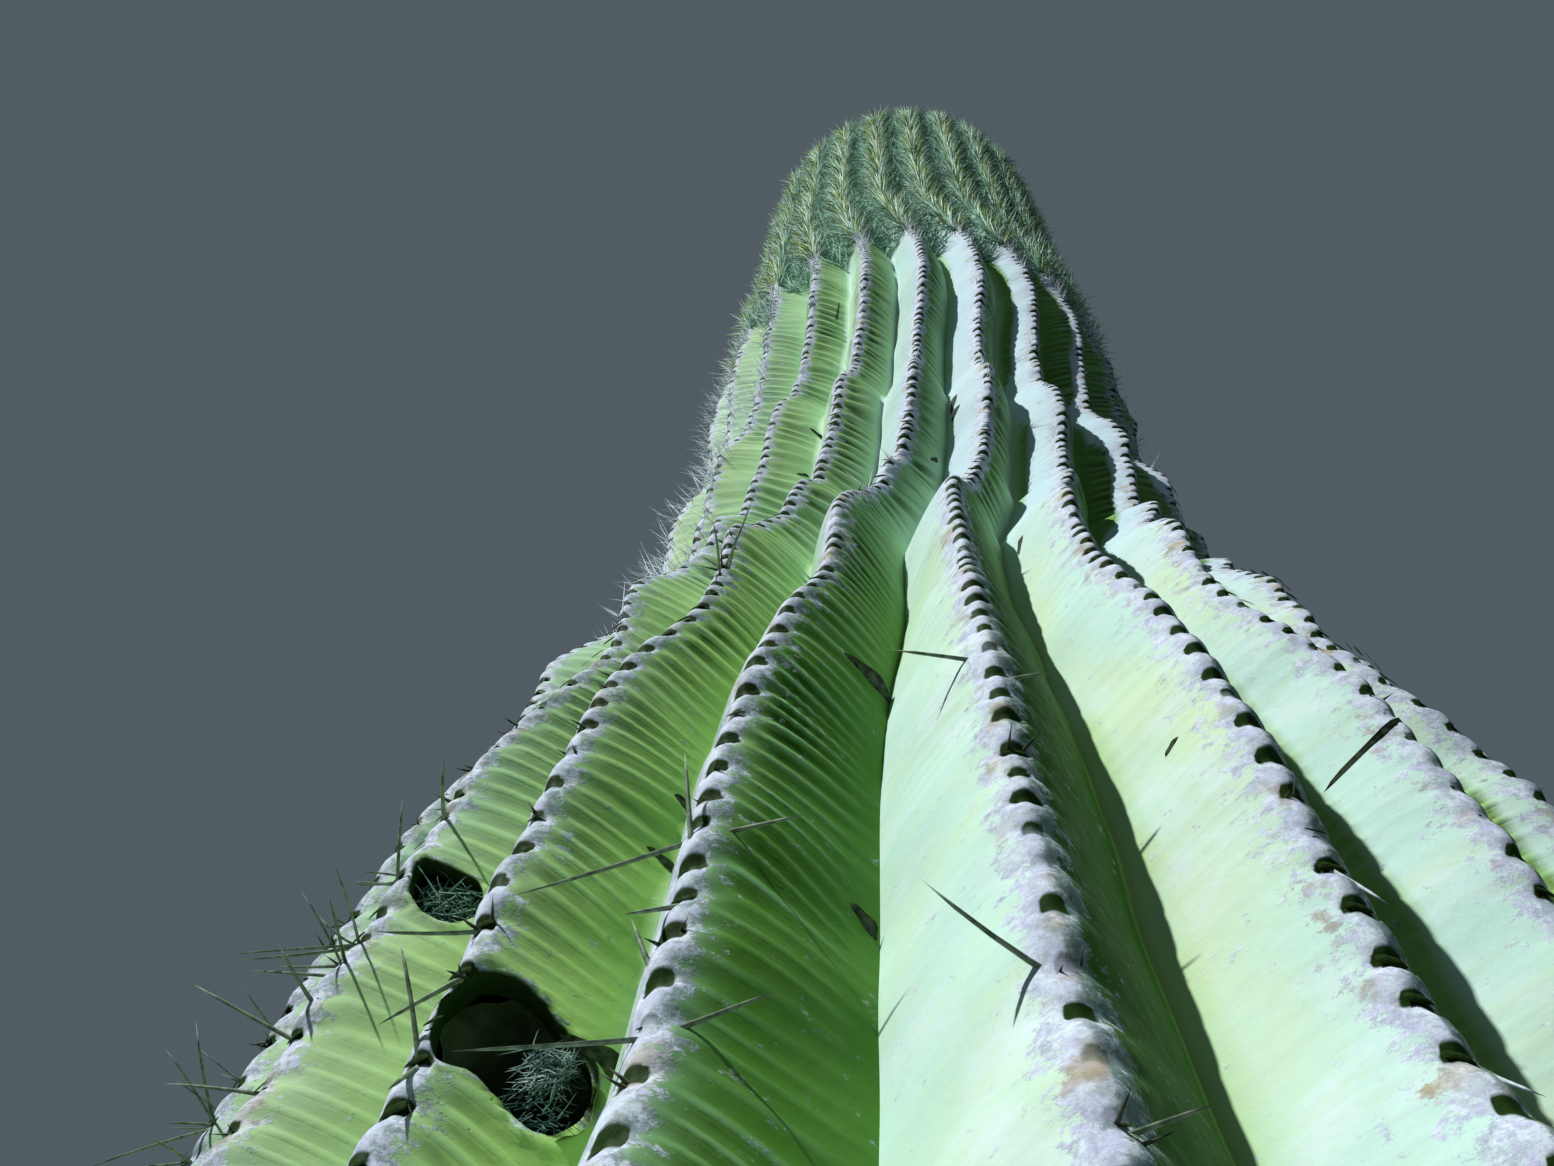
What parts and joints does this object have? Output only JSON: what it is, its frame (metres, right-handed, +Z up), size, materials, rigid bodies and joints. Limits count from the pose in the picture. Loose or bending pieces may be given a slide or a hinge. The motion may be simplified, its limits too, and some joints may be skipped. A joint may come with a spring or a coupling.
{
  "type": "saguaro cactus",
  "caption": "Tall ribbed saguaro cactus column with a wide lower stem, a waist, a narrower upper stem, a bristly domed crown and a nest hole.",
  "frame": {"origin": "middle of the flat cut under the trunk, at ground level", "axes": "+Z up along the trunk, -Y towards the side that the picture looks at, +X to its right"},
  "size_m": [0.848, 0.8542, 4.7252],
  "materials": {
    "skin": "waxy pale green living skin with corky grey rib crests",
    "cork": "dull grey scar cork with pale fibres",
    "spines": "grey felt pads with stiff straw to grey-green spines",
    "crown": "straw and brown felt with dense bristles"
  },
  "bodies": {
    "root": {"trunk": "skin", "nest_boot": "cork", "spine_row_01_low": "spines", "spine_row_01_high": "spines", "spine_row_02_low": "spines", "spine_row_02_high": "spines", "spine_row_03_low": "spines", "spine_row_03_high": "spines", "spine_row_04_low": "spines", "spine_row_04_high": "spines", "spine_row_05_low": "spines", "spine_row_05_high": "spines", "spine_row_06_low": "spines", "spine_row_06_high": "spines", "spine_row_07_low": "spines", "spine_row_07_high": "spines", "spine_row_08_low": "spines", "spine_row_08_high": "spines", "spine_row_09_low": "spines", "spine_row_09_high": "spines", "spine_row_10_low": "spines", "spine_row_10_high": "spines", "spine_row_11_low": "spines", "spine_row_11_high": "spines", "spine_row_12_low": "spines", "spine_row_12_high": "spines", "spine_row_13_low": "spines", "spine_row_13_high": "spines", "spine_row_14_low": "spines", "spine_row_14_high": "spines", "spine_row_15_low": "spines", "spine_row_15_high": "spines", "spine_row_16_low": "spines", "spine_row_16_high": "spines", "spine_row_17_low": "spines", "spine_row_17_high": "spines", "spine_row_18_low": "spines", "spine_row_18_high": "spines", "spine_row_19_low": "spines", "spine_row_19_high": "spines", "spine_row_20_low": "spines", "spine_row_20_high": "spines", "spine_row_21_low": "spines", "spine_row_21_high": "spines", "spine_row_22_low": "spines", "spine_row_22_high": "spines", "spine_row_23_low": "spines", "spine_row_23_high": "spines", "spine_row_24_low": "spines", "spine_row_24_high": "spines", "crown_felt": "crown"}
  },
  "joints": []
}
